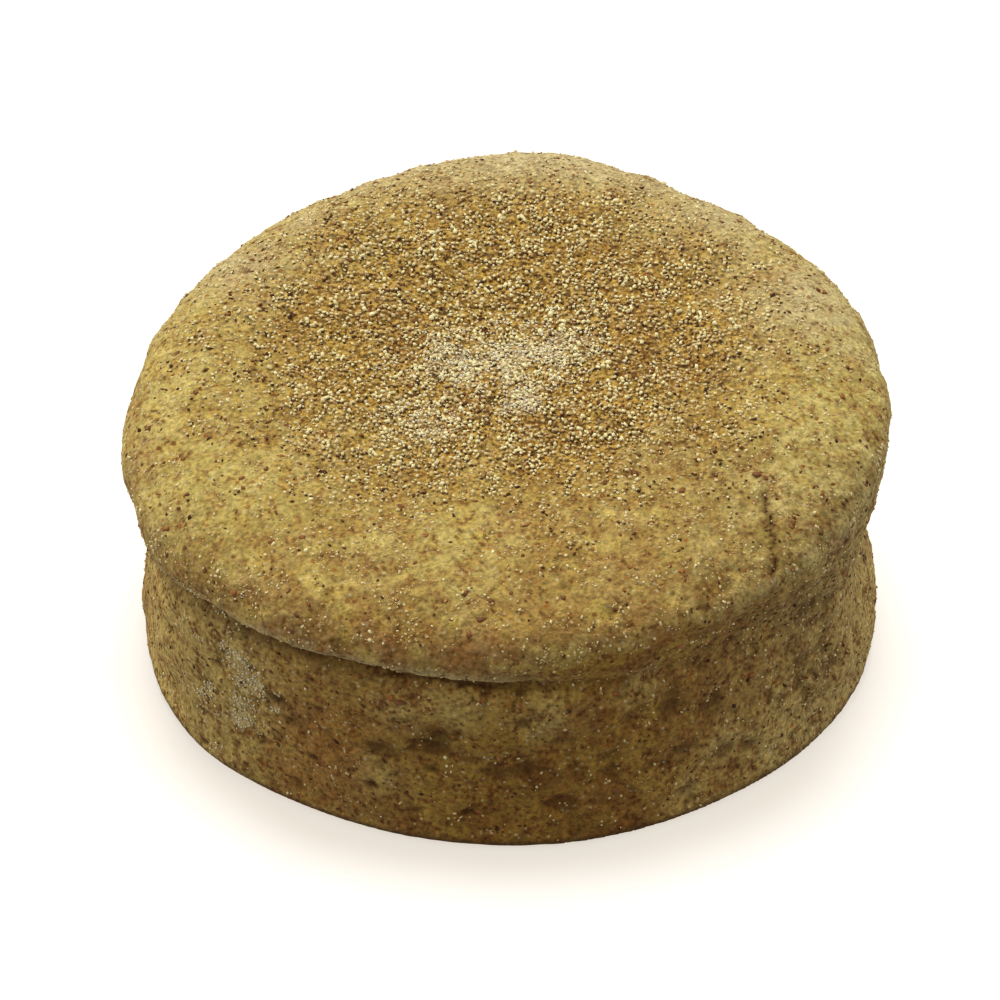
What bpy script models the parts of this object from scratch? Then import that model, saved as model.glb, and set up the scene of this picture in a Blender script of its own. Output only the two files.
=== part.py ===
"""English muffin: a thick round of wholemeal bread that rose in a ring and was browned on a griddle.

The dough filled its ring and then swelled over the edge, so a low drum carries a lid. The lid's lip
hangs over the drum in a sharp crease at the front left. Elsewhere lid and drum meet in a soft waist.
The top is a shallow dish inside a rounded shoulder, which is broad at the front and narrow elsewhere.

Metres, +Z up, the front at -Y. The origin is under the middle, on the flat face the muffin rests on.
Directions are seen from above, in degrees, and turn from the right towards the back.
"""

import math

import bmesh
import bpy
from mathutils import Vector, noise

NAME = "english_muffin"
MM = 0.001
RIGHT, BACK, LEFT, FRONT = 0.0, 90.0, 180.0, 270.0

# Driving dimensions
LID_RADIUS = 43.4 * MM  # from the lid's own middle to its side
LID_OVAL = 0.9 * MM  # the lid is that much wider left to right, and narrower front to back
LID_CORNERS = 1.0 * MM  # and it has three soft corners, one at the back
LID_SHIFT_X = -0.8 * MM  # the lid has slipped a little to the left on its drum
DRUM_RADIUS = 42.1 * MM
DRUM_OVAL = 1.3 * MM
RIM_HEIGHT = 38.1 * MM  # the highest ring of the top
RIM_TILT = 1.9 * MM  # how much higher that is on its high side
RIM_HIGH_SIDE = 66.0
DISH_HEIGHT = 37.1 * MM  # the top's middle, at the bottom of the dish
WIDEST_HEIGHT = 31.6 * MM  # where the lid is widest
WIDEST_TILT = 1.5 * MM
WIDEST_HIGH_SIDE = 15.0
LIP_HEIGHT = 24.9 * MM  # where the sharp lip meets the drum
CREASE_DEPTH = 1.5 * MM  # how far the sharp crease cuts in behind the drum's side
WAIST_DEPTH = 0.9 * MM  # the same for the soft waist
SHOULDER_WIDTH = 10.7 * MM  # from the rim out to the lid's side
BASE_ROUND = 1.6 * MM  # the drum's lower edge

# The lip is sharp between two directions, and runs out into the waist on either side of them
LIP_STARTS, LIP_IS_FULL, LIP_FADES, LIP_ENDS = 190.0, 215.0, 275.0, 315.0

# What makes one side unlike another: the direction, how far round it reaches, and by how much
LID_SWELLS = (
    (24.0, 16.0, 1.1 * MM),
    (56.0, 12.0, -0.6 * MM),
    (84.0, 14.0, 1.2 * MM),
    (127.0, 16.0, -0.6 * MM),
)
DRUM_SWELLS = (
    (211.0, 16.0, 1.1 * MM),
    (307.0, 18.0, -0.6 * MM),
)
WIDEST_DROOPS = ((246.0, 45.0, 2.4 * MM),)
WAIST_DROPS = (
    (15.0, 58.0, 11.5 * MM),
    (BACK, 40.0, 5.0 * MM),
    (172.0, 28.0, 14.0 * MM),
    (232.0, 26.0, -1.7 * MM),
)
SHOULDER_EXTRAS = ((FRONT, 62.0, 11.0 * MM),)

# How the surface wanders: how far in and out, over what distance, and from which place in the noise
LUMP_HEIGHT, LUMP_SIZE, LUMP_PLACE = 0.45 * MM, 13.0 * MM, (3.7, 1.2, 5.1)
DIMPLE_HEIGHT, DIMPLE_SIZE, DIMPLE_PLACE = 0.3 * MM, 5.0 * MM, (8.3, 4.4, 0.6)

# The mesh
COLUMNS = 96
DISH_STEPS = 7
SHOULDER_STEPS = 9
LIP_STEPS = 6
DRUM_STEPS = 9
DRUM_CROWDING = 1.35  # the drum's rows lie closer together towards the crease
SHARP_REACH, SOFT_REACH = 0.22, 0.75  # the share of its height in which the drum gains its full side
BASE_STEPS = 4


def waves(angle, count, direction):
    """A wave that crests count times round the muffin, once in the direction: from -1 to 1."""
    return math.cos(count * math.radians(angle - direction))


def added(angle, places):
    """What the places add up to here, each falling smoothly to nothing over about twice its reach."""
    total = 0.0
    for direction, reach, amount in places:
        away = (angle - direction + 180.0) % 360.0 - 180.0
        total += amount * math.exp(-((away / reach) ** 2))
    return total


def between(start, end, share):
    return start + (end - start) * share


def eased(share):
    """A share from 0 to 1 that leaves and arrives gently."""
    share = min(max(share, 0.0), 1.0)
    return share * share * (3.0 - 2.0 * share)


def sharpness(angle):
    """1 where the lip hangs over a sharp crease, and 0 where it runs into a soft waist."""
    rises = eased((angle - LIP_STARTS) / (LIP_IS_FULL - LIP_STARTS))
    fades = eased((LIP_ENDS - angle) / (LIP_ENDS - LIP_FADES))
    return rises * fades


def lid_radius(angle):
    oval = LID_OVAL * waves(angle, 2, RIGHT)
    corners = LID_CORNERS * waves(angle, 3, BACK)
    return LID_RADIUS + oval + corners + added(angle, LID_SWELLS)


def drum_radius(angle):
    return DRUM_RADIUS + DRUM_OVAL * waves(angle, 2, RIGHT) + added(angle, DRUM_SWELLS)


def rim_height(angle):
    return RIM_HEIGHT + RIM_TILT * waves(angle, 1, RIM_HIGH_SIDE)


def widest_height(angle):
    tilt = WIDEST_TILT * waves(angle, 1, WIDEST_HIGH_SIDE)
    return WIDEST_HEIGHT + tilt - added(angle, WIDEST_DROOPS)


def crease_height(angle):
    return LIP_HEIGHT - added(angle, WAIST_DROPS)


def shoulder_width(angle):
    return SHOULDER_WIDTH + added(angle, SHOULDER_EXTRAS)


def quarter(steps, first):
    """Angles in radians from the first step of a quarter turn to its end."""
    return [math.pi / 2.0 * step / steps for step in range(first, steps + 1)]


def dish(rim_radius, rim_top):
    """From the middle of the top out to just inside its rim."""
    shares = [step / DISH_STEPS for step in range(DISH_STEPS)]
    return [(rim_radius * share, between(DISH_HEIGHT, rim_top, eased(share))) for share in shares]


def shoulder(rim_radius, rim_top, lid_side, widest):
    """A quarter ellipse from the rim out and down to the lid's widest ring."""
    return [
        (between(rim_radius, lid_side, math.sin(turn)), between(widest, rim_top, math.cos(turn)))
        for turn in quarter(SHOULDER_STEPS, 0)
    ]


def lip(lid_side, widest, crease_radius, crease, sharp):
    """Under the lid's widest ring, in to the crease: a rolled lip where sharp, a slope where not."""
    points = []
    for step, turn in enumerate(quarter(LIP_STEPS, 1), 1):
        share = step / LIP_STEPS
        rolled_out = between(crease_radius, lid_side, math.cos(turn))
        rolled_up = between(widest, crease, math.sin(turn))
        sloped_out = between(lid_side, crease_radius, eased(share))
        sloped_up = between(widest, crease, share)
        points.append((between(sloped_out, rolled_out, sharp), between(sloped_up, rolled_up, sharp)))
    return points


def drum(crease_radius, crease, drum_side, sharp):
    """From the crease out to the drum's side and down to its lower edge."""
    points = []
    for step in range(1, DRUM_STEPS + 1):
        share = (step / DRUM_STEPS) ** DRUM_CROWDING
        quick = math.sqrt(1.0 - (1.0 - min(share / SHARP_REACH, 1.0)) ** 2)
        slow = eased(share / SOFT_REACH)
        side = between(crease_radius, drum_side, between(slow, quick, sharp))
        points.append((side, between(crease, BASE_ROUND, share)))
    return points


def base(drum_side):
    """The rounded lower edge, and the flat face under it with one ring half-way in to the axis."""
    edge = [
        (drum_side - BASE_ROUND * (1.0 - math.cos(turn)), BASE_ROUND * (1.0 - math.sin(turn)))
        for turn in quarter(BASE_STEPS, 1)
    ]
    return edge + [(drum_side / 2.0, 0.0), (0.0, 0.0)]


def half_section(angle):
    """(distance from the axis, height) from the middle of the top, down the side, to the origin."""
    lid_side = lid_radius(angle)
    drum_side = drum_radius(angle)
    rim_radius = lid_side - shoulder_width(angle)
    rim_top = rim_height(angle)
    widest = widest_height(angle)
    crease = crease_height(angle)
    sharp = sharpness(angle)
    crease_radius = drum_side - between(WAIST_DEPTH, CREASE_DEPTH, sharp)
    return (
        dish(rim_radius, rim_top)
        + shoulder(rim_radius, rim_top, lid_side, widest)
        + lip(lid_side, widest, crease_radius, crease, sharp)
        + drum(crease_radius, crease, drum_side, sharp)
        + base(drum_side)
    )


def uneven(point):
    """The point moved in or out by the dough's lumps and dimples; the flat face stays flat."""
    lump = LUMP_HEIGHT * noise.noise(point / LUMP_SIZE + Vector(LUMP_PLACE))
    dimple = DIMPLE_HEIGHT * noise.noise(point / DIMPLE_SIZE + Vector(DIMPLE_PLACE))
    upward = DRUM_RADIUS * eased((point.z - LIP_HEIGHT) / (RIM_HEIGHT - LIP_HEIGHT))
    outward = Vector((point.x, point.y, upward)).normalized()
    held = eased(point.z / (3.0 * BASE_ROUND))
    return point + outward * held * (lump + dimple)


def muffin_mesh():
    """The half-sections set round the axis and joined, a loft of unlike sections closed at both ends."""
    build = bmesh.new()
    angles = [360.0 * column / COLUMNS for column in range(COLUMNS)]
    sections = [half_section(angle) for angle in angles]
    rings = []
    for row in range(len(sections[0])):
        ring = []
        for angle, section in zip(angles, sections):
            radius, height = section[row]
            turn = math.radians(angle)
            shift = LID_SHIFT_X * eased(height / LIP_HEIGHT)
            point = Vector((radius * math.cos(turn) + shift, radius * math.sin(turn), height))
            ring.append(uneven(point))
            if radius == 0.0:
                break
        rings.append([build.verts.new(point) for point in ring])
    for upper, lower in zip(rings, rings[1:]):
        for column in range(COLUMNS):
            after = (column + 1) % COLUMNS
            corners = [lower[column % len(lower)], lower[after % len(lower)]]
            corners += [upper[after % len(upper)], upper[column % len(upper)]]
            build.faces.new(dict.fromkeys(corners))
    bmesh.ops.recalc_face_normals(build, faces=build.faces)
    mesh = bpy.data.meshes.new(NAME)
    build.to_mesh(mesh)
    build.free()
    return mesh


def centre_over_origin(mesh):
    """Moves the mesh so that the middle of its box is over the origin."""
    for axis in (0, 1):
        values = [vertex.co[axis] for vertex in mesh.vertices]
        middle = (min(values) + max(values)) / 2.0
        for vertex in mesh.vertices:
            vertex.co[axis] -= middle


def crust_material():
    material = bpy.data.materials.new("wholemeal_crust")
    material.use_nodes = True
    shader = material.node_tree.nodes["Principled BSDF"]
    shader.inputs["Base Color"].default_value = (0.47, 0.33, 0.12, 1.0)
    shader.inputs["Roughness"].default_value = 0.85
    shader.inputs["Metallic"].default_value = 0.0
    return material


def main():
    for leftover in list(bpy.data.objects):
        bpy.data.objects.remove(leftover)
    mesh = muffin_mesh()
    centre_over_origin(mesh)
    mesh.shade_smooth()
    mesh.materials.append(crust_material())
    collection = bpy.data.collections.new(NAME)
    bpy.context.scene.collection.children.link(collection)
    collection.objects.link(bpy.data.objects.new(NAME, mesh))


main()
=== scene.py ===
"""The looks of a wholemeal english muffin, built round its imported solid.

The solid gives the muffin's form. Here it gets a skin of dough with lumps, bubbles, dents and a crack,
and on that skin lie the real small things: semolina, bran flakes, scorched specks and flour.
Metres, +Z up, the front at -Y, as in the frame. Directions are seen from above, in degrees, and turn
from the right towards the back.
"""

import math

import bmesh
import bpy
import numpy as np
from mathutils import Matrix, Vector, kdtree, noise


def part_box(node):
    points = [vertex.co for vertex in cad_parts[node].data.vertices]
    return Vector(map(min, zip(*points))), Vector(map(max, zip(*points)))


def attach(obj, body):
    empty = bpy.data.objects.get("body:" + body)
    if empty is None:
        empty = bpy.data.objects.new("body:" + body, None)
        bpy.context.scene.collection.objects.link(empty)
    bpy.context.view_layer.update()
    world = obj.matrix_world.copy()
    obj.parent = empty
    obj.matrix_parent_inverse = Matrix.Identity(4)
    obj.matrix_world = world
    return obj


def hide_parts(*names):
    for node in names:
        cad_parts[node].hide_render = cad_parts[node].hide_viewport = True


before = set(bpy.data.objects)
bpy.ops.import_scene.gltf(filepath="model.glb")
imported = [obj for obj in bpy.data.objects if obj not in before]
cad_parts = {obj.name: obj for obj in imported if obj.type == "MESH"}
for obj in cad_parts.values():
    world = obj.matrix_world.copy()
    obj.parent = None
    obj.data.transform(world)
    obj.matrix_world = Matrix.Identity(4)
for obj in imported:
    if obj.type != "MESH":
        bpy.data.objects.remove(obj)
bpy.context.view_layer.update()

MM = 0.001
MUFFIN = "english_muffin"
_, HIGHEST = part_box(MUFFIN)
HEIGHT = HIGHEST.z
SIDE_RADIUS = HIGHEST.x - 1.5 * MM
chance = np.random.default_rng(1847)

# Where the lid ends and the side begins: its height, and how much higher it is round one direction
LID_EDGE = 27.0 * MM
LID_EDGE_RISE = (312.0, 42.0, 5.5 * MM)

# The lid's sharp lip, as (direction, height in mm), and the directions in which it fades in and out
LIP_LINE = ((200, 20.4), (215, 24.7), (232, 26.4), (250, 25.9), (275, 24.9), (300, 22.8))
LIP_MIDDLE, LIP_REACH = 238.0, 34.0
LIP_SHADE = (233.0, 20.0)  # the lip stands out furthest round this direction, and shades the side

# The browned top, seen from above: its middle, how far it reaches, and how far its edge wanders
TOAST_MIDDLE = (0.0 * MM, 4.0 * MM)
TOAST_REACH = (33.0 * MM, 29.0 * MM)
TOAST_WANDER = 0.20

# Spots on the top are (x, y, reach) and spots on the side (direction, height, reach), in mm and degrees
DEEP_BROWN_ON_TOP = (
    (17, 1, 6), (24, -4, 5), (20, -14, 5), (22, -20, 4), (-15, 9, 4), (-25, 7, 4), (-21, 13, 3),
    (-11, 3, 3.5), (-6, 28, 3.5), (7, 17, 3.5), (11, 16, 4), (-27, -12, 5), (-23, -18, 4),
    (-5, -8, 3), (4, -11, 3.5), (4, -24, 4),
)
FLOUR_ON_TOP = ((0, 1, 6), (6, 2, 4.5), (-6, 0, 4.5), (-9, -10, 3.5), (2, -6, 3))
FLOUR_ON_SIDE = ((225.5, 19.5, 2.2), (227, 16.5, 2.2), (225.5, 13, 1.6), (225.5, 10.5, 1.5), (217, 11, 1.5))
PALE_ON_TOP = ((-31, 18, 6), (-24, 25, 4), (3, 34, 8), (17, 33, 6), (24, 25, 8), (34, 10, 8))
# Dark spots on the side: stains, partly painted shade in the dents, and in the last row painted shade in the
# crease under the lid at the right
DARK_ON_SIDE = (
    (260, 17, 2.6), (275, 10, 3), (297, 18, 3), (304, 15, 2.5), (281, 3.5, 3), (325, 20, 5), (328, 10, 3),
    (313, 26.5, 2.4), (318, 29, 2.8), (322, 30.5, 2.6), (328, 31, 2.2),
)
RUST_ON_SIDE = (
    (279, 7, 2.5), (240, 13, 7), (236, 5, 5), (264, 30, 3), (268, 33, 3), (252, 31, 2), (293, 32, 2.5),
)
PALE_ON_SIDE = (
    (262, 22, 4.5), (276, 21, 4), (253, 20.5, 3), (250, 10, 3), (306, 9, 3), (300, 4, 3), (292, 23, 3),
    (316, 6, 4), (327, 4, 4), (226, 16, 5), (213, 18, 4),
)
DENTS = (
    (260, 17, 2.4), (273, 12.5, 2.2), (279, 7, 2.6), (286, 11, 1.8), (296.5, 18, 2.2), (304, 15.5, 2.4),
    (306, 8, 2.4), (311, 7, 2.0), (322, 11, 2.6), (328, 14, 2.0), (324, 21, 3.0), (331, 19, 2.0),
)
DENT_DEPTH = 0.24  # as a share of its reach

# A short crack over the right of the front shoulder: its ends in mm, and how far it sways on its way
CRACK_FROM, CRACK_TO = (29.2, -22.8, 36.9), (30.3, -32.5, 33.6)
CRACK_STEPS, CRACK_SWAY, CRACK_WIDTH = 26, 0.25 * MM, 0.6 * MM
CRACK_DEPTH = 0.45  # as a share of its width

# Zones on the shoulder and the side, as (direction, how far round it they reach)
DENTED_SIDE = (318.0, 27.0)
# The tan zones are partly browned crust and partly painted shade on the lid's low shoulder
TAN_AND_SHADE_FRONT, TAN_AND_SHADE_BACK = (248.0, 74.0), (90.0, 90.0)
DUSKY_RIGHT = (333.0, 25.0)
# The pale zones are partly paler crust and partly painted light, where the side and the lid's back face the
# lamps
PALE_LEFT, PALE_RIGHT, PALE_BACK = (210.0, 33.0), (348.0, 36.0), (95.0, 70.0)
PALE_LID_BACK = (85.0, 60.0)
TAN_HEIGHT, DUSK_HEIGHT = 15.0 * MM, 9.0 * MM  # how far up the lid they reach

# The skin of dough: the size of its cells, and how often it is smoothed
SKIN_CELL, SMOOTHING = 0.51 * MM, 2
EDGE_BLUR = 12  # rounds of blur that the edges and the creases are measured against
LIP_CRISPNESS = 0.9  # how much further out the edges stand, and further in the creases lie
UNDERSIDE_RISE = 0.45 * MM  # the griddled face stands clear of the ground inside its own edge
UNDERSIDE_REACH, UNDERSIDE_EDGE = 39.0 * MM, 5.0 * MM

# Relief on the skin: how far in and out, over what distance, and from which place in the noise
SWELLS = (0.38 * MM, 11.0 * MM, 3.1)
RIPPLES = (0.24 * MM, 3.6 * MM, 8.6)
GRIT = (0.17 * MM, 1.3 * MM, 5.2)

# Hollows in the skin: how many, their widths in mm, and their depths as a share of those
BUBBLE_COUNT, BUBBLE_WIDTHS, BUBBLE_DEPTHS = 900, (0.5, 1.5), (0.15, 0.36)
STRAY_DENT_COUNT, STRAY_DENT_WIDTHS, STRAY_DENT_DEPTHS = 70, (1.4, 3.2), (0.08, 0.22)

# What lies on the skin: how many, and their sizes in mm as (middle, spread, least, most) or (least, most).
# Coarse semolina is tried in many places, and lies in those that keep the gap between its grains.
SEMOLINA_TRIED, SEMOLINA_MOST, SEMOLINA_GAP = 15000, 9500, 0.41 * MM
SEMOLINA_SIZES = (0.35, 0.24, 0.22, 0.55)
FINE_SEMOLINA_COUNT, FINE_SEMOLINA_SIZES = 9000, (0.16, 0.34)
FLOUR_COUNT, FLOUR_SIZES = 2200, (0.18, 0.40)
BRAN_COUNT, BRAN_SIZES, BRAN_CORNERS = 1200, (0.5, 0.3, 0.25, 1.0), 9
SPECK_COUNT, SPECK_SIZES = 3000, (0.34, 0.28, 0.18, 0.8)
# how far from its grain lies the dark speck that paints the grain's shadow
SPECK_FROM_GRAIN = 0.25 * MM

# The lights, as (name, direction, elevation, spread, strength); the muffin and the ground have their own
MUFFIN_LIGHTS = (
    ("window_left", 128.0, 45.0, 20.0, 1.9),
    ("window_right", 45.0, 56.0, 60.0, 0.9),
    ("fill_left", 190.0, 25.0, 60.0, 1.15),
    ("fill_right", 345.0, 25.0, 60.0, 0.8),
)
GROUND_LIGHTS = (("ceiling", 98.0, 80.5, 18.0, 1.25),)
SURROUNDINGS_STRENGTH = 0.25

# The floor, a disc that glows a little so that it stays white outside the muffin's shadow
FLOOR_RADIUS, FLOOR_DROP = 4.0, 0.02 * MM
FLOOR_WHITES = ((0.79, 0.79, 0.79), (0.81, 0.81, 0.805))
FLOOR_GLOW, FLOOR_GLOW_STRENGTH = (1.0, 0.925, 0.82, 1.0), 0.68

# The camera, which looks from the front and above; its lens and sensor are in mm
CAMERA_ELEVATION, CAMERA_DISTANCE = 40.6, 0.7
CAMERA_AIM = (-0.65 * MM, 0.0, 16.7 * MM)
CAMERA_LENS, CAMERA_SENSOR = 213.2, 36.0


def eased(values):
    """Values from 0 to 1 that leave and arrive gently."""
    share = np.clip(values, 0.0, 1.0)
    return share * share * (3.0 - 2.0 * share)


def noise_at(points, size, place):
    """Smooth noise from about -1 to 1 at each point, wandering over the size."""
    return np.array([noise.noise(spot) for spot in (points / size + place).tolist()])


def unit(vectors):
    return vectors / np.maximum(np.linalg.norm(vectors, axis=-1, keepdims=True), 1e-12)


def near_direction(points, direction, reach):
    """1 in the direction, falling to 0 on either side of it over about twice the reach."""
    turns = np.degrees(np.arctan2(points[:, 1], points[:, 0]))
    away = (turns - direction + 180.0) % 360.0 - 180.0
    return np.exp(-((away / reach) ** 2))


def on_top(spots):
    """Spots on the top as (place, reach)."""
    return [(np.array((x * MM, y * MM, HEIGHT - 2.5 * MM)), reach * MM) for x, y, reach in spots]


def on_side(spots):
    """Spots on the side as (place, reach)."""
    placed = []
    for direction, height, reach in spots:
        turn = math.radians(direction)
        place = (SIDE_RADIUS * math.cos(turn), SIDE_RADIUS * math.sin(turn), height * MM)
        placed.append((np.array(place), reach * MM))
    return placed


def spotted(points, spots, wander=0.5):
    """1 in the middle of a spot, falling to 0 over about its reach, with a ragged edge."""
    ragged = 1.0 + wander * (noise_at(points, 2.5 * MM, 7.7) + 0.6 * noise_at(points, 0.9 * MM, 2.7))
    total = np.zeros(len(points))
    for place, reach in spots:
        away = np.linalg.norm(points - place, axis=1) / reach
        total = np.maximum(total, np.exp(-((away * ragged) ** 2)))
    return total


def lipped(points):
    """1 in the directions in which the lid hangs over the side with a sharp lip."""
    return eased(2.0 * near_direction(points, LIP_MIDDLE, LIP_REACH) - 0.3)


def above_lip(points):
    """How far a point is above the crease under the lid's lip."""
    turns = np.degrees(np.arctan2(points[:, 1], points[:, 0])) % 360.0
    directions, heights = np.array(LIP_LINE).T
    return points[:, 2] - np.interp(turns, directions, heights) * MM


def above_lid_edge(points):
    """How far a point is above the uneven edge where the lid ends and the side begins."""
    direction, reach, rise = LID_EDGE_RISE
    above = points[:, 2] - LID_EDGE - rise * near_direction(points, direction, reach)
    above += 1.0 * MM * noise_at(points, 6.0 * MM, 4.4)
    return above + (above_lip(points) - above) * lipped(points)


def on_lid(points):
    """1 on the lid with its shoulder, and 0 on the side."""
    step = (3.0 - 2.0 * lipped(points)) * MM
    return eased(above_lid_edge(points) / step + 0.5)


def low_on_lid(points, height):
    """1 at the lid's edge and below it, falling to 0 over the height."""
    return 1.0 - eased((above_lid_edge(points) - 1.0 * MM) / height)


def tan_and_shade(points):
    """1 on the low front of the lid, painted browner and darker above the lip: partly browned crust, partly
    painted shade where the shoulder turns from the light; less low on its back.
    """
    browner = np.maximum(near_direction(points, *TAN_AND_SHADE_FRONT), 0.5 * near_direction(points, *TAN_AND_SHADE_BACK))
    return low_on_lid(points, TAN_HEIGHT) * browner * on_lid(points)


def dusky(points):
    """1 on the right, low on the shoulder and on the side, where the crust is rough and dull."""
    low = low_on_lid(points, DUSK_HEIGHT)
    return low * near_direction(points, *DUSKY_RIGHT) * (0.7 + 0.3 * on_lid(points))


def pale_and_lit(points):
    """1 where the crust is painted paler: on the left of the side, at its far right, and on the lid's back;
    partly paler dough, partly painted light where these face the lamps.
    """
    side = near_direction(points, *PALE_LEFT) + near_direction(points, *PALE_RIGHT)
    side += 0.6 * near_direction(points, *PALE_BACK) + 0.9 * spotted(points, on_side(PALE_ON_SIDE))
    back = near_direction(points, *PALE_LID_BACK) * eased((points[:, 1] - 22.0 * MM) / (14.0 * MM))
    back *= eased((above_lid_edge(points) - 2.0 * MM) / (7.0 * MM))
    back = np.maximum(back, spotted(points, on_top(PALE_ON_TOP)))
    return np.clip(side + (back - side) * on_lid(points), 0.0, 1.0)


def toasted(points):
    """1 where the griddle browned the top, and 0 outside, with a ragged edge."""
    out = np.hypot(
        (points[:, 0] - TOAST_MIDDLE[0]) / TOAST_REACH[0], (points[:, 1] - TOAST_MIDDLE[1]) / TOAST_REACH[1]
    )
    ragged = TOAST_WANDER * (noise_at(points, 9.0 * MM, 1.7) + 0.7 * noise_at(points, 2.8 * MM, 6.3))
    return eased((1.30 - out + ragged) / 0.72) * eased((points[:, 2] - 0.75 * HEIGHT) / (0.1 * HEIGHT))


def floured(points):
    """1 where white flour lies, in the top's middle and in streaks down the left of the side."""
    top = 0.9 * spotted(points, on_top(FLOUR_ON_TOP), 0.5)
    side = 1.3 * spotted(points, on_side(FLOUR_ON_SIDE), 0.9)
    return np.clip((top + side) * (0.8 + 0.8 * noise_at(points, 1.2 * MM, 9.4)), 0.0, 1.0)


# ---------------------------------------------------------------- the skin of dough


class Skin:
    """A closed mesh as arrays: where its points are, which way they face, and how to scatter on it."""

    def __init__(self, mesh):
        self.mesh = mesh
        mesh.calc_loop_triangles()
        self.triangles = np.empty(len(mesh.loop_triangles) * 3, np.int32)
        mesh.loop_triangles.foreach_get("vertices", self.triangles)
        self.triangles = self.triangles.reshape(-1, 3)
        self.points = np.empty(len(mesh.vertices) * 3, np.float32)
        mesh.vertices.foreach_get("co", self.points)
        self.points = self.points.reshape(-1, 3).astype(float)
        self.tree = kdtree.KDTree(len(self.points))
        for index, point in enumerate(self.points.tolist()):
            self.tree.insert(point, index)
        self.tree.balance()
        self.face()

    def face(self):
        """Works out the triangles' areas and which way each point faces."""
        a, b, c = (self.points[self.triangles[:, corner]] for corner in range(3))
        across = np.cross(b - a, c - a)
        self.areas = np.linalg.norm(across, axis=1) / 2.0
        facings = np.zeros_like(self.points)
        for corner in range(3):
            np.add.at(facings, self.triangles[:, corner], across)
        self.facings = unit(facings)

    def move(self, distances):
        """Moves every point along its own facing, and rests the lowest of them on the ground."""
        self.points += self.facings * distances[:, None]
        self.points[:, 2] -= self.points[:, 2].min()
        self.mesh.vertices.foreach_set("co", self.points.astype(np.float32).ravel())
        self.mesh.update()
        self.face()

    def note(self, name, values):
        """Stores a value at each point, for the material to read."""
        layer = self.mesh.attributes.new(name, "FLOAT", "POINT")
        layer.data.foreach_set("value", values.astype(np.float32))

    def scatter(self, count, density):
        """Random places on the skin, more where the density is higher, with their facings."""
        weights = self.areas * density[self.triangles].mean(axis=1)
        chosen = chance.choice(len(weights), size=count, p=weights / weights.sum())
        u, v = chance.random(count), chance.random(count)
        over = u + v > 1.0
        u[over], v[over] = 1.0 - u[over], 1.0 - v[over]
        shares = np.stack([1.0 - u - v, u, v], axis=1)[:, :, None]
        corners = self.triangles[chosen]
        places = (self.points[corners] * shares).sum(axis=1)
        return places, unit((self.facings[corners] * shares).sum(axis=1))

    def blurred(self, values, rounds):
        """Values at each point, averaged over the neighbours again and again."""
        first = self.triangles[:, [0, 1, 2, 1, 2, 0]].ravel()
        second = self.triangles[:, [1, 2, 0, 0, 1, 2]].ravel()
        count = np.bincount(first, minlength=len(self.points))
        values = values.reshape(len(self.points), -1)
        for _ in range(rounds):
            columns = [
                np.bincount(first, weights=column[second], minlength=len(self.points)) / count
                for column in values.T
            ]
            values = np.stack(columns, axis=1)
        return values

    def depth_below_blur(self, rounds):
        """How far each point lies below the skin once that is blurred: the creases and the pits."""
        return ((self.blurred(self.points, rounds) - self.points) * self.facings).sum(axis=1)


def fine_mesh():
    """The solid as an even net of small faces, with its facets smoothed away."""
    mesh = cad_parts[MUFFIN].data.copy()
    build = bmesh.new()
    build.from_mesh(mesh)
    bmesh.ops.remove_doubles(build, verts=build.verts, dist=0.001 * MM)
    build.to_mesh(mesh)
    build.free()
    holder = bpy.data.objects.new("muffin_form", mesh)
    bpy.context.scene.collection.objects.link(holder)
    rounded = holder.modifiers.new("rounded", "SUBSURF")
    rounded.levels = rounded.render_levels = 2
    net = holder.modifiers.new("net", "REMESH")
    net.mode = "VOXEL"
    net.voxel_size = SKIN_CELL
    net.use_smooth_shade = True
    smooth = holder.modifiers.new("smooth", "SMOOTH")
    smooth.factor = 0.5
    smooth.iterations = SMOOTHING
    graph = bpy.context.evaluated_depsgraph_get()
    fine = bpy.data.meshes.new_from_object(holder.evaluated_get(graph))
    bpy.data.objects.remove(holder)
    fine.materials.clear()
    return fine


def sunk(skin, places, widths, depths):
    """How deep each point lies in ragged hollows, wider than high: the deepest hollow counts."""
    ragged = 1.0 + 0.6 * noise_at(skin.points, 1.1 * MM, 3.3)
    total = np.zeros(len(skin.points))
    for place, width, depth in zip(np.array(places), widths, depths):
        near = np.array([index for _, index, _ in skin.tree.find_range(place, 1.5 * width)], int)
        away = np.linalg.norm((skin.points[near] - place) * (0.85, 0.85, 1.5), axis=1) * ragged[near] / width
        total[near] = np.maximum(total[near], depth * (1.0 - np.minimum(away, 1.0) ** 2) ** 2)
    return total


def bubbles(skin):
    """Small burst bubbles, most of them on the side."""
    side = 1.0 - on_lid(skin.points)
    rough = near_direction(skin.points, *DENTED_SIDE) * side
    places, _ = skin.scatter(BUBBLE_COUNT, 0.12 + 0.5 * side + 1.8 * rough)
    widths = chance.uniform(*BUBBLE_WIDTHS, len(places)) * MM
    return sunk(skin, places, widths, widths * chance.uniform(*BUBBLE_DEPTHS, len(places)))


def dents(skin):
    """Broad dents where the side was rough against its ring: stray ones, and those that are listed."""
    side = 1.0 - on_lid(skin.points)
    rough = near_direction(skin.points, *DENTED_SIDE) * side
    places, _ = skin.scatter(STRAY_DENT_COUNT, rough + 0.12 * side)
    widths = chance.uniform(*STRAY_DENT_WIDTHS, len(places)) * MM
    stray = sunk(skin, places, widths, widths * chance.uniform(*STRAY_DENT_DEPTHS, len(places)))
    listed = on_side(DENTS)
    middles = [skin.tree.find(Vector(place))[0] for place, reach in listed]
    widths = np.array([reach for place, reach in listed])
    return np.maximum(stray, sunk(skin, middles, widths, widths * DENT_DEPTH))


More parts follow.
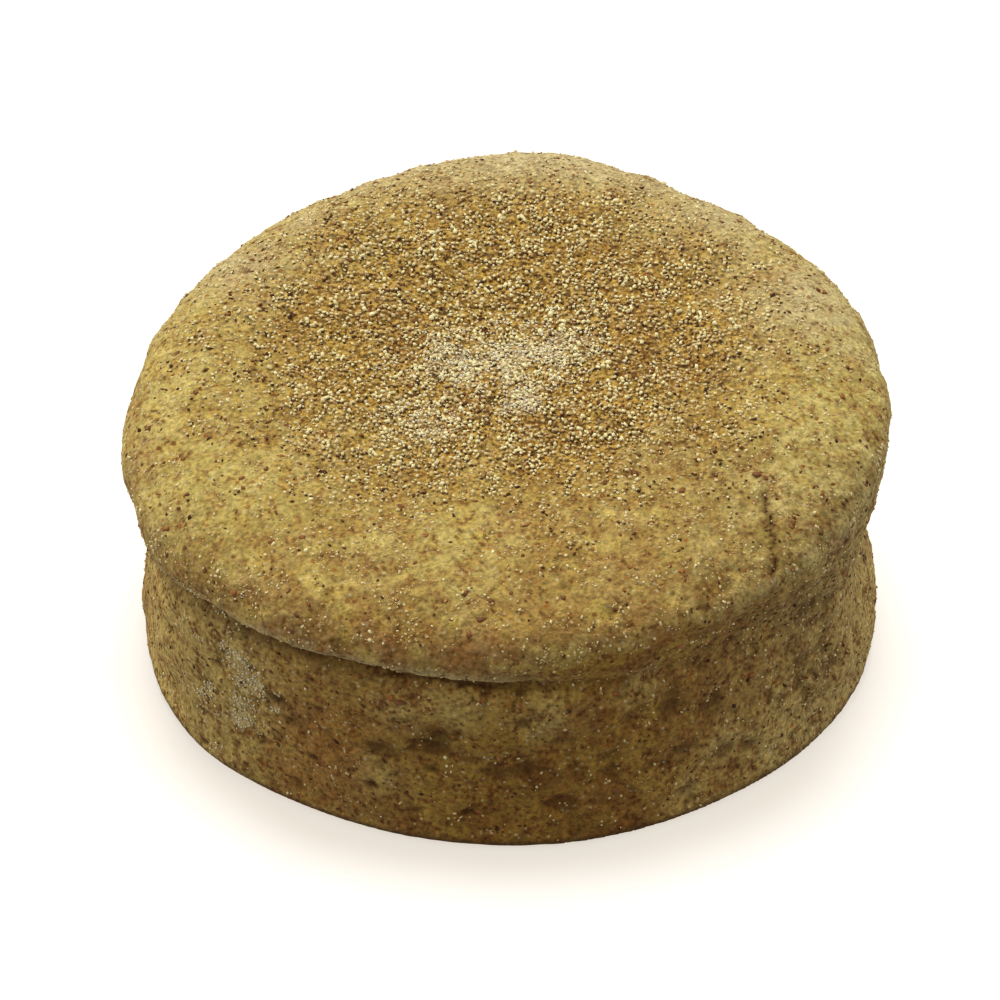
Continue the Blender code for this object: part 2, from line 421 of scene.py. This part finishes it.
def crack_places(skin):
    """Places on the skin along the crack, with their facings."""
    start, end = Vector(CRACK_FROM) * MM, Vector(CRACK_TO) * MM
    places, facings = [], []
    for step in range(CRACK_STEPS + 1):
        sway = Vector((CRACK_SWAY * math.sin(step * 0.9), 0.0, 0.0))
        _, index, _ = skin.tree.find(start.lerp(end, step / CRACK_STEPS) + sway)
        places.append(skin.points[index])
        facings.append(skin.facings[index])
    return np.array(places), np.array(facings)


def crack(skin):
    """How deep each point lies in the crack."""
    places, _ = crack_places(skin)
    widths = np.full(len(places), CRACK_WIDTH)
    return sunk(skin, places, widths, widths * CRACK_DEPTH)


def relief(points):
    """How far each point stands out: broad swells, and ripples and grit that are stronger on rough parts."""
    rough = 1.0 + 0.4 * toasted(points) + 0.9 * near_direction(points, *DENTED_SIDE)
    height, size, place = SWELLS
    total = height * noise_at(points, size, place)
    for height, size, place in (RIPPLES, GRIT):
        total += height * rough * noise_at(points, size, place)
    return total


def on_underside(points):
    """1 on the griddled face under the muffin, and 0 from its edge outwards."""
    out = np.hypot(points[:, 0], points[:, 1])
    return eased((1.0 * MM - points[:, 2]) / (0.5 * MM)) * eased((UNDERSIDE_REACH - out) / UNDERSIDE_EDGE)


def note_zones(skin):
    """Where the crust browned, stayed pale, has stains or flour, and where painted light and shade lie on
    it.
    """
    points = skin.points
    skin.note("lid", on_lid(points))
    skin.note("tan_and_shade", np.clip(tan_and_shade(points), 0.0, 1.0))
    skin.note("toasted", toasted(points))
    skin.note("browned", spotted(points, on_top(DEEP_BROWN_ON_TOP)))
    skin.note("floured", floured(points))
    skin.note("stained_and_shaded", spotted(points, on_side(DARK_ON_SIDE), 0.8))
    skin.note("rusty", spotted(points, on_side(RUST_ON_SIDE)))
    skin.note("pale_and_lit", pale_and_lit(points))
    skin.note("dusky", dusky(points))


def note_edges(skin):
    """Where the skin lies in a crease or stands out, for painted shade in the creases, and the lid's lip
    with the painted shade under it and the painted highlight on its edge.
    """
    points = skin.points
    depth = skin.depth_below_blur(EDGE_BLUR)
    above, sharp = above_lip(points), lipped(points)
    # painted shade in the creases, strongest under the sharp lip
    skin.note("crease", eased(depth / (0.3 * MM) - 0.15) * (0.25 + 0.75 * sharp))
    skin.note("ridge", eased(-depth / (0.25 * MM) - 0.1))
    # painted shadow that the lip casts on the side below it
    shade = near_direction(points, *LIP_SHADE) * eased(1.4 + above / (2.6 * MM))
    skin.note("under_lip", shade * eased(0.5 - above / (0.5 * MM)))
    # painted highlight along the lit edge of the lid's lip
    skin.note("lip_edge", sharp * eased(1.3 - above / (2.4 * MM)) * eased(0.5 + above / (0.4 * MM)))


def muffin_skin():
    """The solid's form as a fine skin with its relief, which carries all that the crust's paint reads."""
    skin = Skin(fine_mesh())
    skin.move(-LIP_CRISPNESS * skin.depth_below_blur(EDGE_BLUR))
    held = eased(skin.points[:, 2] / (3.0 * MM))
    raised, cracked = relief(skin.points), crack(skin)
    sinking = np.maximum(bubbles(skin), dents(skin)) + cracked
    under = on_underside(skin.points)
    rise = UNDERSIDE_RISE * under * (1.0 + 0.8 * noise_at(skin.points, 4.0 * MM, 2.2))
    skin.move((raised - sinking) * held - rise)
    note_zones(skin)
    note_edges(skin)
    skin.note("hollow", np.clip(sinking / (0.4 * MM), 0.0, 1.0))
    skin.note("cracked", np.clip(cracked / (0.25 * MM), 0.0, 1.0))
    # painted contact shadow low on the side, where it meets the ground
    skin.note("foot", eased(2.7 - skin.points[:, 2] / (0.7 * MM)) * (1.0 - under))
    skin.note("under", under)
    return skin


# ---------------------------------------------------------------- what lies on the skin


def mesh_from(name, points, faces):
    """A mesh of faces that all have the same number of corners."""
    mesh = bpy.data.meshes.new(name)
    mesh.vertices.add(len(points))
    mesh.vertices.foreach_set("co", points.astype(np.float32).ravel())
    mesh.loops.add(faces.size)
    mesh.loops.foreach_set("vertex_index", faces.astype(np.int32).ravel())
    mesh.polygons.add(len(faces))
    mesh.polygons.foreach_set("loop_start", np.arange(0, faces.size, faces.shape[1], dtype=np.int32))
    mesh.update(calc_edges=True)
    mesh.validate()
    return mesh


def corners_and_faces(build):
    """What the build holds, which is then put away."""
    corners = np.array([vertex.co[:] for vertex in build.verts])
    faces = np.array([[vertex.index for vertex in face.verts] for face in build.faces])
    build.free()
    return corners, faces


def crumb():
    """An octahedron, enough for a crumb too fine for its shape to be seen."""
    build = bmesh.new()
    bmesh.ops.create_uvsphere(build, u_segments=4, v_segments=2, radius=1.0)
    return corners_and_faces(build)


def chip():
    """A cube, which becomes a glassy chip once its corners are shifted."""
    build = bmesh.new()
    bmesh.ops.create_cube(build, size=1.5)
    bmesh.ops.triangulate(build, faces=build.faces)
    return corners_and_faces(build)


def flake(sides):
    """A flat flake: a rim, and a middle point on either face of it."""
    turns = 2.0 * math.pi * np.arange(sides) / sides
    rim = np.stack([np.cos(turns), np.sin(turns), np.zeros(sides)], axis=1)
    corners = np.vstack([rim, [(0.0, 0.0, 1.0), (0.0, 0.0, -1.0)]])
    faces = []
    for side in range(sides):
        after = (side + 1) % sides
        faces.append((side, after, sides))
        faces.append((after, side, sides + 1))
    return corners, np.array(faces)


def spaced(places, facings, gap, count):
    """The first places, up to the count, of which no two are nearer to each other than the gap."""
    tree = kdtree.KDTree(len(places))
    for index, place in enumerate(places.tolist()):
        tree.insert(place, index)
    tree.balance()
    kept = np.ones(len(places), bool)
    for index, place in enumerate(places.tolist()):
        if kept[index]:
            for _, other, _ in tree.find_range(place, gap):
                kept[other] = kept[other] and other <= index
    return places[kept][:count], facings[kept][:count]


def lying(facings, tilt):
    """Turned axes for each thing: the third near its facing, the others random about it."""
    up = unit(facings + tilt * chance.normal(size=facings.shape))
    along = unit(np.cross(up, chance.normal(size=facings.shape)))
    return np.stack([along, np.cross(up, along), up], axis=1)


def grown(middle, spread, least, most, count):
    """Sizes that crowd round the middle one, with fewer small and big ones."""
    return np.clip(chance.lognormal(math.log(middle), spread, count), least, most) * MM


def things(name, shape, places, facings, sizes, tones, stretch, lumpiness, tilt, sink):
    """One mesh of many small closed bodies, each of its own size, proportions, outline and turn.

    Lumpiness and tilt are how far the outline and the turn stray, and sink is the share under the skin.
    """
    corners, faces = shape
    count = len(places)
    proportions = np.array(stretch)[None, :] * chance.uniform(0.75, 1.25, (count, 3))
    jitter = chance.uniform(1.0 - lumpiness, 1.0 + lumpiness, (count, len(corners), 3))
    bodies = corners[None] * jitter * (sizes[:, None] * proportions / 2.0)[:, None, :]
    bodies = np.einsum("nij,njk->nik", bodies, lying(facings, tilt))
    lift = (sizes * stretch[2] / 2.0 * (1.0 - 2.0 * sink))[:, None]
    bodies += (places + facings * lift)[:, None, :]
    bodies[:, :, 2] = np.maximum(bodies[:, :, 2], 0.0)
    all_faces = (faces[None] + (np.arange(count) * len(corners))[:, None, None]).reshape(-1, faces.shape[1])
    mesh = mesh_from(name, bodies.reshape(-1, 3), all_faces)
    layer = mesh.attributes.new("tone", "FLOAT", "POINT")
    layer.data.foreach_set("value", np.repeat(np.clip(tones, 0.0, 1.0), len(corners)).astype(np.float32))
    return bpy.data.objects.new(name, mesh)


def clear_of_ground(skin):
    """1 where a thing can lie without reaching the ground, and 0 round the underside's edge."""
    under = eased((UNDERSIDE_REACH - 3.0 * MM - np.hypot(skin.points[:, 0], skin.points[:, 1])) / (4.0 * MM))
    return np.maximum(eased((skin.points[:, 2] - 0.8 * MM) / (2.0 * MM)), 0.3 * under)


def dusted(points):
    """How thick the stray grains lie outside the browned top, in drifts."""
    return np.clip(0.35 + 2.6 * noise_at(points, 2.4 * MM, 14.2), 0.03, 2.5)


def glittering(points):
    """1 where white grains and scorched specks crowd together, and 0 where both are few."""
    return eased(0.5 + 1.5 * noise_at(points, 2.2 * MM, 21.3))


def grain_places(skin):
    """Where the coarse grains lie: thick on the browned top, in drifts on the shoulder, few on the side."""
    lid, toast = on_lid(skin.points), toasted(skin.points)
    clumps = 0.7 + 1.5 * noise_at(skin.points, 2.4 * MM, 4.9) + 1.8 * noise_at(skin.points, 1.0 * MM, 2.6)
    clumps = np.clip(clumps, 0.1, 2.2)
    clumps *= 1.0 - 0.5 * spotted(skin.points, on_top(DEEP_BROWN_ON_TOP))
    clumps += 0.8 * floured(skin.points)
    spread = (0.05 + 0.16 * lid) * dusted(skin.points) + 1.2 * toast * clumps
    spread += 0.3 * (1.0 - lid) * floured(skin.points)
    places, facings = skin.scatter(SEMOLINA_TRIED, spread * clear_of_ground(skin))
    return spaced(places, facings, SEMOLINA_GAP, SEMOLINA_MOST)


def semolina(places, facings):
    """Coarse grains, glassy and pale, with some browned ones among them."""
    toast, glitter = toasted(places), glittering(places)
    sizes = grown(*SEMOLINA_SIZES, len(places)) * (0.75 + 0.25 * toast)
    pale = chance.random(len(places)) < 0.85 - 0.3 * toast * (1.0 - glitter)
    tones = np.where(pale, 0.74 + 0.25 * glitter, 0.18) + 0.12 * chance.normal(size=len(places))
    tones += 0.5 * floured(places) - 0.2 * spotted(places, on_top(DEEP_BROWN_ON_TOP)) - 0.3 * (1.0 - toast)
    tones += 0.5 * noise_at(places, 1.0 * MM, 8.8)
    return things(
        "semolina_grains", chip(), places, facings, sizes, tones,
        stretch=(1.35, 0.9, 0.8), lumpiness=0.3, tilt=0.35, sink=0.45 - 0.25 * toast,
    )


def fine_semolina(skin):
    """Fine grains between the coarse ones, and as pale points all over the shoulder and side."""
    clumps = np.clip(0.8 + 1.5 * noise_at(skin.points, 1.5 * MM, 12.9), 0.1, 2.2)
    spread = (0.05 + 0.25 * on_lid(skin.points)) * dusted(skin.points) + 0.15 * dusky(skin.points)
    spread += 0.25 * toasted(skin.points) * clumps
    places, facings = skin.scatter(FINE_SEMOLINA_COUNT, spread * clear_of_ground(skin))
    sizes = chance.uniform(*FINE_SEMOLINA_SIZES, len(places)) * MM
    tones = 0.34 + 0.16 * toasted(places) + 0.22 * chance.normal(size=len(places)) + 0.4 * floured(places)
    return things(
        "fine_semolina", crumb(), places, facings, sizes, tones,
        stretch=(1.3, 1.0, 0.8), lumpiness=0.2, tilt=0.5, sink=0.5,
    )


def flour(skin):
    """Crumbs of white flour in the top's middle and down the left of the side."""
    spread = floured(skin.points) * (0.7 + 0.3 * on_lid(skin.points))
    places, facings = skin.scatter(FLOUR_COUNT, spread * clear_of_ground(skin))
    sizes = chance.uniform(*FLOUR_SIZES, len(places)) * MM
    tones = 0.7 * chance.random(len(places)) + 0.3 * on_lid(places)
    return things(
        "flour_crumbs", crumb(), places, facings, sizes, tones,
        stretch=(1.2, 1.0, 0.7), lumpiness=0.3, tilt=0.6, sink=0.2,
    )


def bran(skin):
    """Red-brown flakes pressed into the skin all over."""
    places, facings = skin.scatter(BRAN_COUNT, clear_of_ground(skin) * (1.0 - 0.3 * toasted(skin.points)))
    sizes = grown(*BRAN_SIZES, len(places))
    return things(
        "bran_flakes", flake(BRAN_CORNERS), places, facings, sizes, chance.random(len(places)),
        stretch=(1.3, 0.85, 0.10), lumpiness=0.35, tilt=0.05, sink=0.45,
    )


def where_grain_shadow_falls(places, facings, reach):
    """The place beside each grain where its shadow falls, on its front and a little to the right, for a dark
    speck painted as that shadow.
    """
    shadow_way = np.array((0.45, -0.9, 0.0))
    along = shadow_way - facings * (facings @ shadow_way)[:, None]
    return places + unit(along) * reach


def specks(skin, grains, grain_facings):
    """Dark specks: scorched ones in the crack and strewn thinly, and at the feet of the grains on the
    browned top as their painted shadows.
    """
    spread = 0.07 + 0.8 * toasted(skin.points) * glittering(skin.points) + 0.2 * dusky(skin.points)
    spread += 0.08 * (1.0 - on_lid(skin.points))
    places, facings = skin.scatter(SPECK_COUNT, clear_of_ground(skin) * spread)
    # dark specks as painted shadows, on the side of the grains away from the main light
    chosen = chance.random(len(grains)) < toasted(grains) * (0.35 + 0.6 * glittering(grains))
    beside = where_grain_shadow_falls(grains[chosen], grain_facings[chosen], SPECK_FROM_GRAIN)
    in_crack, crack_facings = crack_places(skin)
    places = np.vstack([places, beside, in_crack])
    facings = np.vstack([facings, grain_facings[chosen], crack_facings])
    sizes = grown(*SPECK_SIZES, len(places))
    return things(
        "dark_specks", crumb(), places, facings, sizes, chance.random(len(places)) ** 1.6,
        stretch=(1.4, 0.9, 0.4), lumpiness=0.25, tilt=0.2, sink=0.3,
    )


# ---------------------------------------------------------------- the finishes


class Tone:
    """A value somewhere in a material. Sums on it add Math nodes, so a mask reads as a formula."""

    def __init__(self, paint, socket):
        self.paint = paint
        self.socket = socket

    def sum(self, operation, first, second):
        return self.paint.node("ShaderNodeMath", {"operation": operation}, {0: first, 1: second})

    def __add__(self, other):
        return self.sum("ADD", self, other)

    def __radd__(self, other):
        return self.sum("ADD", other, self)

    def __sub__(self, other):
        return self.sum("SUBTRACT", self, other)

    def __rsub__(self, other):
        return self.sum("SUBTRACT", other, self)

    def __mul__(self, other):
        return self.sum("MULTIPLY", self, other)

    def __rmul__(self, other):
        return self.sum("MULTIPLY", other, self)

    def between(self, low, high):
        """0 at low and 1 at high, with a gentle step between them; low may be the greater."""
        ends = {"Value": self, "From Min": low, "From Max": high}
        return self.paint.node("ShaderNodeMapRange", {"interpolation_type": "SMOOTHSTEP"}, ends)


class Paint:
    """A material built on one Principled shader."""

    def __init__(self, name, roughness, shine=0.2):
        self.material = bpy.data.materials.new(name)
        self.material.use_nodes = True
        self.tree = self.material.node_tree
        self.shader = self.tree.nodes["Principled BSDF"]
        self.shader.inputs["Metallic"].default_value = 0.0
        self.shader.inputs["Roughness"].default_value = roughness
        self.shader.inputs["Specular IOR Level"].default_value = shine
        self.where = self.node("ShaderNodeTexCoord", {}, {}, "Object")

    def feed(self, socket, value):
        if isinstance(value, Tone):
            self.tree.links.new(value.socket, socket)
        else:
            socket.default_value = value

    def node(self, kind, settings, inputs, output=0):
        made = self.tree.nodes.new(kind)
        for name, value in settings.items():
            setattr(made, name, value)
        for name, value in inputs.items():
            self.feed(made.inputs[name], value)
        return Tone(self, made.outputs[output])

    def noted(self, name):
        """A value that the mesh carries at each point."""
        return self.node("ShaderNodeAttribute", {"attribute_name": name}, {}, "Fac")

    def moved(self, place):
        """Where a point is, moved to another place in the noise."""
        inputs = {0: self.where, 1: (place, place, place)}
        return self.node("ShaderNodeVectorMath", {"operation": "ADD"}, inputs)

    def noise(self, size, place, detail=2.0):
        """Noise from 0 to 1 that wanders over the size."""
        inputs = {"Vector": self.moved(place), "Scale": 1.0 / size, "Detail": detail}
        return self.node("ShaderNodeTexNoise", {}, inputs)

    def flecks(self, spacing, place, share, reach):
        """Round flecks that reach a share of the spacing between them; only some places have one."""
        inputs = {"Vector": self.moved(place), "Scale": 1.0 / spacing}
        near = self.node("ShaderNodeTexVoronoi", {}, inputs, "Distance") + 0.25 * self.noise(0.4 * MM, place)
        chosen = self.node("ShaderNodeTexVoronoi", {}, inputs, "Color").between(1.0 - share, 1.02 - share)
        return near.between(reach + 0.17, reach + 0.08) * chosen

    def mix(self, factor, first, second):
        """The first colour where the factor is 0, and the second where it is 1."""
        first = first if isinstance(first, Tone) else (*first, 1.0)
        second = second if isinstance(second, Tone) else (*second, 1.0)
        return self.node("ShaderNodeMix", {"data_type": "RGBA"}, {0: factor, 6: first, 7: second}, 2)

    def shaded(self, colour, factor):
        """The colour, brighter where the factor is over 1 and darker where it is under."""
        return self.node("ShaderNodeVectorMath", {"operation": "SCALE"}, {0: colour, 3: factor})

    def bump(self, height, distance):
        """Relief too fine for the mesh, as deep as the distance where the height is 1."""
        inputs = {"Height": height, "Distance": distance}
        self.set("Normal", self.node("ShaderNodeBump", {}, inputs))

    def set(self, name, value):
        self.feed(self.shader.inputs[name], value)


# The crust's colours
DOUGH_CREAM = (0.60, 0.50, 0.285)
DOUGH_PALE = (0.53, 0.420, 0.132)
DOUGH_OLIVE = (0.44, 0.345, 0.088)
DOUGH_GOLD = (0.48, 0.320, 0.066)
DOUGH_PINK = (0.44, 0.255, 0.080)
DOUGH_TAN = (0.26, 0.122, 0.026)
DOUGH_BROWN = (0.22, 0.100, 0.018)
DOUGH_DUSK = (0.36, 0.270, 0.110)
SIDE_PALE = (0.52, 0.375, 0.115)
SIDE_OLIVE = (0.31, 0.173, 0.027)
SIDE_BROWN = (0.21, 0.091, 0.014)
SIDE_DULL = (0.31, 0.230, 0.095)
SIDE_UMBER = (0.080, 0.034, 0.007)
SIDE_RUST = (0.26, 0.078, 0.012)
TOAST_AMBER = (0.50, 0.290, 0.045)
TOAST_BROWN = (0.33, 0.150, 0.021)
# dark of the scorched pits on the top, and of the painted shade in creases, under the lip and at the foot
SCORCH_AND_SHADE_DARK = (0.065, 0.024, 0.005)
FLOUR_WHITE = (0.86, 0.78, 0.58)
# cream of the flour on the side, and of the painted highlight on the lip's edge
FLOUR_CREAM_AND_HIGHLIGHT = (0.84, 0.70, 0.35)
BRAN_RED = (0.24, 0.075, 0.012)

# What lies on the skin, each from its darkest to its palest
SEMOLINA_TONES = ((0.42, 0.21, 0.030), (1.0, 0.90, 0.47))
FLOUR_TONES = ((0.60, 0.48, 0.19), (1.0, 0.94, 0.74))
BRAN_TONES = ((0.12, 0.045, 0.012), (0.38, 0.135, 0.022))
SPECK_TONES = ((0.035, 0.013, 0.004), (0.24, 0.090, 0.018))


def dough_colour(paint, broad, patchy, mid, fine):
    """The lid's dough: pale and olive with gold and pink patches, painted paler with light on its back, tan
    and darker with painted shade low in front, and dull at the right.
    """
    colour = paint.mix((broad * 0.5 + patchy * 0.5).between(0.38, 0.58), DOUGH_OLIVE, DOUGH_PALE)
    colour = paint.mix(mid.between(0.53, 0.40) * 0.7, colour, DOUGH_GOLD)
    colour = paint.mix((patchy * 0.3 + mid * 0.3 + fine * 0.4).between(0.50, 0.41) * 0.8, colour, DOUGH_PINK)
    # paler dough, with painted light on the lid's back
    colour = paint.mix(paint.noted("pale_and_lit") * 0.6, colour, DOUGH_CREAM)
    tan = paint.mix(patchy.between(0.48, 0.70), DOUGH_TAN, DOUGH_GOLD)
    # tan crust, with painted shade, low on the lid's front
    colour = paint.mix(paint.noted("tan_and_shade") * 0.95, colour, tan)
    colour = paint.mix((mid * 0.5 + fine * 0.5).between(0.44, 0.32) * 0.8, colour, DOUGH_BROWN)
    dull = paint.mix(patchy.between(0.4, 0.6), SIDE_UMBER, DOUGH_DUSK)
    return paint.mix(paint.noted("dusky") * 0.5, colour, dull)


def side_colour(paint, broad, patchy, mid, fine):
    """The side, browner than the lid, with rust and umber patches."""
    colour = paint.mix((broad * 0.4 + patchy * 0.6).between(0.42, 0.60), SIDE_BROWN, SIDE_OLIVE)
    # paler side, with painted light on its left and far right
    colour = paint.mix(paint.noted("pale_and_lit") * 0.7, colour, SIDE_PALE)
    colour = paint.mix(paint.noted("dusky") * 0.5, colour, SIDE_DULL)
    colour = paint.mix((mid * 0.6 + fine * 0.4).between(0.52, 0.38) * 0.5, colour, SIDE_RUST)
    dark = (patchy * 0.3 + mid * 0.3 + fine * 0.4).between(0.48, 0.34)
    return paint.mix(dark * 0.55, colour, SIDE_UMBER)


def toast_colour(paint, patchy, mid, fine):
    """The browned top: amber and brown, with scorched pits and pale points."""
    deep = paint.noted("browned") * 0.6 + paint.noise(4.5 * MM, 0.53, 3.0).between(0.42, 0.7) * 0.5
    colour = paint.mix(deep, TOAST_AMBER, TOAST_BROWN)
    colour = paint.mix((mid * 0.4 + fine * 0.6).between(0.49, 0.58) * 0.6, colour, TOAST_BROWN)
    blotch = paint.noise(0.5 * MM, 0.57, 1.0)
    pits = blotch.between(0.53, 0.42) * (0.7 + patchy.between(0.45, 0.6) * 0.3)
    colour = paint.mix(pits, colour, SCORCH_AND_SHADE_DARK)
    return paint.mix(blotch.between(0.57, 0.67) * 0.6, colour, DOUGH_PALE)


def flecked(paint, colour, lid):
    """The colour with pale, red and dark flecks of bran and crumb."""
    colour = paint.mix(paint.flecks(0.8 * MM, 0.67, 0.35, 0.24) * 0.5, colour, DOUGH_CREAM)
    colour = paint.mix(paint.flecks(1.3 * MM, 0.91, 0.3, 0.24) * 0.7, colour, BRAN_RED)
    return paint.mix(paint.flecks(0.8 * MM, 0.47, 0.3, 0.24) * (0.5 - 0.25 * lid), colour, SIDE_UMBER)


def edged(paint, colour, lid, fine):
    """The colour, darker in hollows, creases, the crack and at the foot, and paler on ridges and the lip:
    painted shade in the creases, under the lip and at the foot, partly painted shade in the hollows, and a
    painted highlight on the lip's edge.
    """
    # hollows darker: partly their burnt crust, partly painted shade
    hollow = paint.noted("hollow").between(0.1, 1.0) * (0.65 - 0.35 * lid) * fine.between(0.2, 0.6)
    colour = paint.mix(hollow, colour, SIDE_UMBER)
    # painted shade in the creases of the side, darkest under the sharp lip
    colour = paint.mix(paint.noted("crease") * (1.0 - lid) * 0.9, colour, SCORCH_AND_SHADE_DARK)
    # painted shadow under the lid's lip
    colour = paint.mix(paint.noted("under_lip") * 0.75, colour, SCORCH_AND_SHADE_DARK)
    # painted highlight on the lip's edge
    colour = paint.mix(paint.noted("lip_edge") * 0.4, colour, FLOUR_CREAM_AND_HIGHLIGHT)
    # painted contact shadow at the foot
    colour = paint.mix(paint.noted("foot") * 0.8, colour, SCORCH_AND_SHADE_DARK)
    colour = paint.mix(paint.noted("ridge") * 0.12 * lid * fine.between(0.3, 0.6), colour, DOUGH_CREAM)
    return paint.mix(paint.noted("cracked") * 0.7, colour, SIDE_UMBER)


def crust_paint():
    """The lid, the side and the browned top, with flecks, edges with their painted shade and highlight,
    mottling and flour laid over them.
    """
    paint = Paint("wholemeal_crust", 0.85, 0.12)
    lid = paint.noted("lid")
    broad = paint.noise(8.0 * MM, 0.11, 3.0)
    patchy = paint.noise(3.4 * MM, 0.19, 3.0)
    mid = paint.noise(1.9 * MM, 0.37, 3.0)
    fine = paint.noise(0.7 * MM, 0.73, 2.0)
    grit = paint.noise(0.48 * MM, 0.83, 1.0)
    grain = paint.noise(0.33 * MM, 0.29, 1.0)

    weave = (broad, patchy, mid, fine)
    colour = paint.mix(lid, side_colour(paint, *weave), dough_colour(paint, *weave))
    # dark stains, with painted shade in the dents and in the crease under the lid at the right
    colour = paint.mix(paint.noted("stained_and_shaded") * 0.4, colour, SIDE_UMBER)
    colour = paint.mix(paint.noted("rusty") * (0.15 + 0.6 * fine), colour, SIDE_RUST)
    colour = paint.mix(paint.noted("toasted") * 0.9, colour, toast_colour(paint, patchy, mid, fine))
    griddled = paint.mix(mid.between(0.35, 0.65), TOAST_BROWN, SIDE_BROWN)
    colour = paint.mix(paint.noted("under"), colour, griddled)
    colour = edged(paint, flecked(paint, colour, lid), lid, fine)

    mottle = (mid - 0.5) * 0.6 + (fine - 0.5) * (1.5 - 0.4 * lid) + (grit - 0.5) * 1.3 + (grain - 0.5) * 0.5
    colour = paint.shaded(colour, 1.0 + mottle)
    powder = (paint.noted("floured") * 0.9 + fine * 0.5 + grain * 0.5 - 0.5).between(0.25, 0.8)
    colour = paint.mix(powder * (0.4 - 0.1 * lid), colour, paint.mix(lid, FLOUR_CREAM_AND_HIGHLIGHT, FLOUR_WHITE))
    paint.set("Base Color", colour)
    paint.set("Roughness", 0.78 + 0.16 * mid)
    paint.bump(mid * 0.35 + fine * 0.25 + grit * 0.3 + grain * 0.2, 0.4 * MM)
    return paint.material


def grain_paint(name, tones, roughness, shine):
    """Small things whose colour runs from dark to pale with the tone that each carries."""
    paint = Paint(name, roughness, shine)
    spots = paint.noise(0.15 * MM, 0.41, 1.0)
    paint.set("Base Color", paint.mix(paint.noted("tone") * 0.8 + spots * 0.2, *tones))
    paint.set("Roughness", roughness + 0.2 * spots)
    return paint.material


# ---------------------------------------------------------------- stage, light and camera


def floor():
    """A white ground, which doesn't light the muffin from below."""
    build = bmesh.new()
    bmesh.ops.create_circle(build, cap_ends=True, segments=96, radius=FLOOR_RADIUS)
    mesh = bpy.data.meshes.new("floor")
    build.to_mesh(mesh)
    build.free()
    paint = Paint("floor_white", 0.9)
    grey = paint.noise(0.4, 0.5, 1.0)
    paint.set("Base Color", paint.mix(grey, *FLOOR_WHITES))
    paint.set("Emission Color", FLOOR_GLOW)
    paint.set("Emission Strength", FLOOR_GLOW_STRENGTH)
    mesh.materials.append(paint.material)
    made = bpy.data.objects.new("floor", mesh)
    made.location.z = -FLOOR_DROP
    made.visible_diffuse = False
    return made


def sun(name, direction, elevation, spread, strength, lit):
    """Light on the lit collection alone, as soft as a lamp that spans the spread."""
    lamp = bpy.data.lights.new(name, "SUN")
    lamp.energy = strength
    lamp.angle = math.radians(spread)
    made = bpy.data.objects.new(name, lamp)
    turn, lift = math.radians(direction), math.radians(elevation)
    towards = Vector((math.cos(turn) * math.cos(lift), math.sin(turn) * math.cos(lift), math.sin(lift)))
    made.rotation_euler = towards.to_track_quat("Z", "Y").to_euler()
    made.light_linking.receiver_collection = lit
    bpy.context.scene.collection.objects.link(made)


def surroundings():
    """A faint even light from all round."""
    world = bpy.data.worlds.new("surroundings")
    bpy.context.scene.world = world
    world.use_nodes = True
    back = world.node_tree.nodes["Background"]
    back.inputs["Color"].default_value = (1.0, 1.0, 0.99, 1.0)
    back.inputs["Strength"].default_value = SURROUNDINGS_STRENGTH


def camera():
    """From the front and above, framing the muffin with some ground round it."""
    elevation = math.radians(CAMERA_ELEVATION)
    back = Vector((0.0, -math.cos(elevation), math.sin(elevation)))
    data = bpy.data.cameras.new("camera")
    data.sensor_width = CAMERA_SENSOR
    data.lens = CAMERA_LENS
    data.clip_start = 0.05
    data.clip_end = 20.0
    made = bpy.data.objects.new("camera", data)
    made.location = Vector(CAMERA_AIM) + back * CAMERA_DISTANCE
    made.rotation_euler = back.to_track_quat("Z", "Y").to_euler()
    bpy.context.scene.collection.objects.link(made)
    bpy.context.scene.camera = made


# ---------------------------------------------------------------- everything put together


def dress(muffin):
    """Puts the skin and all that lies on it into the muffin's collection, in place of the solid."""
    skin = muffin_skin()
    crust = bpy.data.objects.new("muffin_crust", skin.mesh)
    grains, grain_facings = grain_places(skin)
    semolina_paint = grain_paint("semolina", SEMOLINA_TONES, 0.35, 0.5)
    flour_paint = grain_paint("flour", FLOUR_TONES, 0.7, 0.3)
    bran_paint = grain_paint("bran", BRAN_TONES, 0.6, 0.3)
    speck_paint = grain_paint("dark_specks", SPECK_TONES, 0.7, 0.2)
    pieces = (
        (crust, "wholemeal_crust", crust_paint()),
        (semolina(grains, grain_facings), "semolina", semolina_paint),
        (fine_semolina(skin), "semolina", semolina_paint),
        (flour(skin), "semolina", flour_paint),
        (bran(skin), "bran", bran_paint),
        (specks(skin, grains, grain_facings), "dark_specks", speck_paint),
    )
    for piece, slot, finish in pieces:
        muffin.objects.link(piece)
        piece.data.materials.append(finish)
        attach(piece, "root")
    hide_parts(MUFFIN)


def light(muffin, ground):
    """Puts the floor into the ground's collection, and the lights and the camera round both."""
    stage = floor()
    ground.objects.link(stage)
    for lamp in MUFFIN_LIGHTS:
        sun(*lamp, muffin)
    for lamp in GROUND_LIGHTS:
        sun(*lamp, ground)
    surroundings()
    camera()
    bpy.context.scene.view_settings.view_transform = "Standard"


def main():
    muffin = bpy.data.collections.new("muffin")
    ground = bpy.data.collections.new("ground")
    for collection in (muffin, ground):
        bpy.context.scene.collection.children.link(collection)
    dress(muffin)
    light(muffin, ground)


main()
